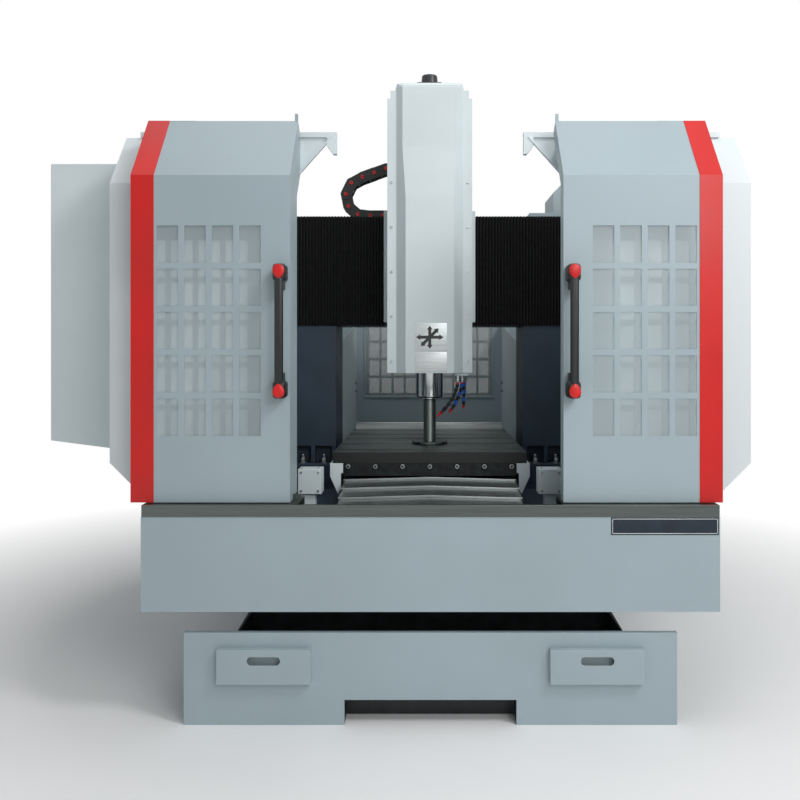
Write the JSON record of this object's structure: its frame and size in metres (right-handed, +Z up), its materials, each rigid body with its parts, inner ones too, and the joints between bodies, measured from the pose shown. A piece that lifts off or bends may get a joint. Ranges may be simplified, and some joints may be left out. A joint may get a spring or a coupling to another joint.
{
  "type": "cnc gantry milling machine",
  "caption": "Moving-table gantry milling machine with a spindle head on a crossbeam, way covers, sliding windowed doors, an open-topped enclosure, a coolant tank and a side cabinet.",
  "frame": {"origin": "middle of the machine's overall box, on the floor", "axes": "+X across the machine to its right, +Y to its back, +Z up"},
  "size_m": [2.747, 2.319, 2.59],
  "materials": {
    "navy_paint": "textured enamel",
    "grey_paint": "fine-textured powder coat",
    "white_paint": "satin powder coat",
    "ground_steel": "ground",
    "dark_steel": "blackened",
    "spindle_chrome": "polished",
    "black_enamel": "smooth",
    "black_cloth": "coated cloth",
    "black_plastic": "moulded",
    "clear_sheet": "clear sheet"
  },
  "bodies": {
    "frame": {"base_casting": "navy_paint", "levelling_feet": "dark_steel", "columns": "navy_paint", "crossbeam": "navy_paint", "linear_rails": "ground_steel", "bearing_blocks": "dark_steel", "axis_motors": "black_enamel", "beam_end_cover": "grey_paint", "bellows": "black_cloth", "drag_chain": "black_plastic", "fixed_covers": "ground_steel", "enclosure_floor": "grey_paint", "waist_panel": "grey_paint", "door_sill": "ground_steel", "front_panels": "white_paint", "side_panels": "white_paint", "rear_wall": "grey_paint", "rear_guards": "grey_paint", "side_shields": "white_paint", "door_rails": "white_paint", "cabinet_box": "white_paint", "control_units": "black_enamel"},
    "carriage": {"saddle": "white_paint", "guide_blocks": "dark_steel", "saddle_nuts": "ground_steel", "chain_bracket": "white_paint"},
    "head": {"ram": "white_paint", "z_rails": "ground_steel", "z_motor": "black_enamel", "spindle_housing": "spindle_chrome", "spindle_motor": "black_enamel", "head_cover": "white_paint", "coolant_hoses": "black_plastic"},
    "spindle": {"spindle_shaft": "spindle_chrome", "face_cutter": "dark_steel"},
    "worktable": {"table": "ground_steel", "table_saddle": "navy_paint", "y_blocks": "dark_steel", "y_nut": "ground_steel", "table_flange": "dark_steel", "table_aprons": "white_paint", "table_bar": "ground_steel", "front_cover_1": "ground_steel", "rear_cover_1": "ground_steel"},
    "front_plate_2": {"front_cover_2": "ground_steel"},
    "front_plate_3": {"front_cover_3": "ground_steel"},
    "rear_plate_2": {"rear_cover_2": "ground_steel"},
    "rear_plate_3": {"rear_cover_3": "ground_steel"},
    "x_drive": {"x_screw": "ground_steel"},
    "y_drive": {"y_screw": "ground_steel"},
    "z_drive": {"z_screw": "ground_steel"},
    "door_l": {"left_door": "grey_paint", "left_panes": "clear_sheet", "left_handle": "black_plastic"},
    "door_r": {"right_door": "grey_paint", "right_panes": "clear_sheet", "right_handle": "black_plastic"},
    "coolant_tank": {"tank": "black_enamel", "tank_front": "grey_paint"},
    "cabinet_leaf": {"cabinet_door": "white_paint"}
  },
  "joints": [
    {"name": "x_axis", "type": "slide", "parent": "frame", "child": "carriage", "axis": [1, 0, 0], "range_m": [-0.35, 0.35], "deforming": ["bellows", "drag_chain"]},
    {"name": "z_axis", "type": "slide", "parent": "carriage", "child": "head", "axis": [0, 0, 1], "range_m": [0, 0.3]},
    {"name": "spindle_spin", "type": "hinge", "parent": "head", "child": "spindle", "pos_m": [0.2015, -0.2535, 1.098], "axis": [0, 0, 1], "continuous": true},
    {"name": "y_axis", "type": "slide", "parent": "frame", "child": "worktable", "axis": [0, 1, 0], "range_m": [-0.4, 0.3]},
    {"name": "front_plate_2_slide", "type": "slide", "parent": "frame", "child": "front_plate_2", "axis": [0, 1, 0], "range_m": [-0.2667, 0.2001]},
    {"name": "front_plate_3_slide", "type": "slide", "parent": "frame", "child": "front_plate_3", "axis": [0, 1, 0], "range_m": [-0.1334, 0.1001]},
    {"name": "rear_plate_2_slide", "type": "slide", "parent": "frame", "child": "rear_plate_2", "axis": [0, 1, 0], "range_m": [-0.2667, 0.2001]},
    {"name": "rear_plate_3_slide", "type": "slide", "parent": "frame", "child": "rear_plate_3", "axis": [0, 1, 0], "range_m": [-0.1334, 0.1001]},
    {"name": "x_screw_spin", "type": "hinge", "parent": "frame", "child": "x_drive", "pos_m": [0.2015, 0.0615, 1.6865], "axis": [1, 0, 0], "continuous": true},
    {"name": "y_screw_spin", "type": "hinge", "parent": "frame", "child": "y_drive", "pos_m": [0.2015, 0.0165, 0.648], "axis": [0, 1, 0], "continuous": true},
    {"name": "z_screw_spin", "type": "hinge", "parent": "head", "child": "z_drive", "pos_m": [0.2015, -0.1115, 1.9], "axis": [0, 0, 1], "continuous": true},
    {"name": "left_door_slide", "type": "slide", "parent": "frame", "child": "door_l", "axis": [1, 0, 0], "range_m": [0, 0.489]},
    {"name": "right_door_slide", "type": "slide", "parent": "frame", "child": "door_r", "axis": [-1, 0, 0], "range_m": [0, 0.463]},
    {"name": "tank_pull", "type": "slide", "parent": "frame", "child": "coolant_tank", "axis": [0, -1, 0], "range_m": [0, 0.5]},
    {"name": "cabinet_hinge", "type": "hinge", "parent": "frame", "child": "cabinet_leaf", "pos_m": [-1.3655, 0.4245, 1.5], "axis": [0, 0, -1], "range_deg": [0, 110]}
  ],
  "couplings": [
    {"joint": "front_plate_2_slide", "follows": "y_axis", "ratio": 0.66667},
    {"joint": "front_plate_3_slide", "follows": "y_axis", "ratio": 0.33333},
    {"joint": "rear_plate_2_slide", "follows": "y_axis", "ratio": 0.66667},
    {"joint": "rear_plate_3_slide", "follows": "y_axis", "ratio": 0.33333},
    {"joint": "x_screw_spin", "follows": "x_axis", "rad_per_m": 628.32},
    {"joint": "y_screw_spin", "follows": "y_axis", "rad_per_m": 628.32},
    {"joint": "z_screw_spin", "follows": "z_axis", "rad_per_m": 628.32}
  ]
}
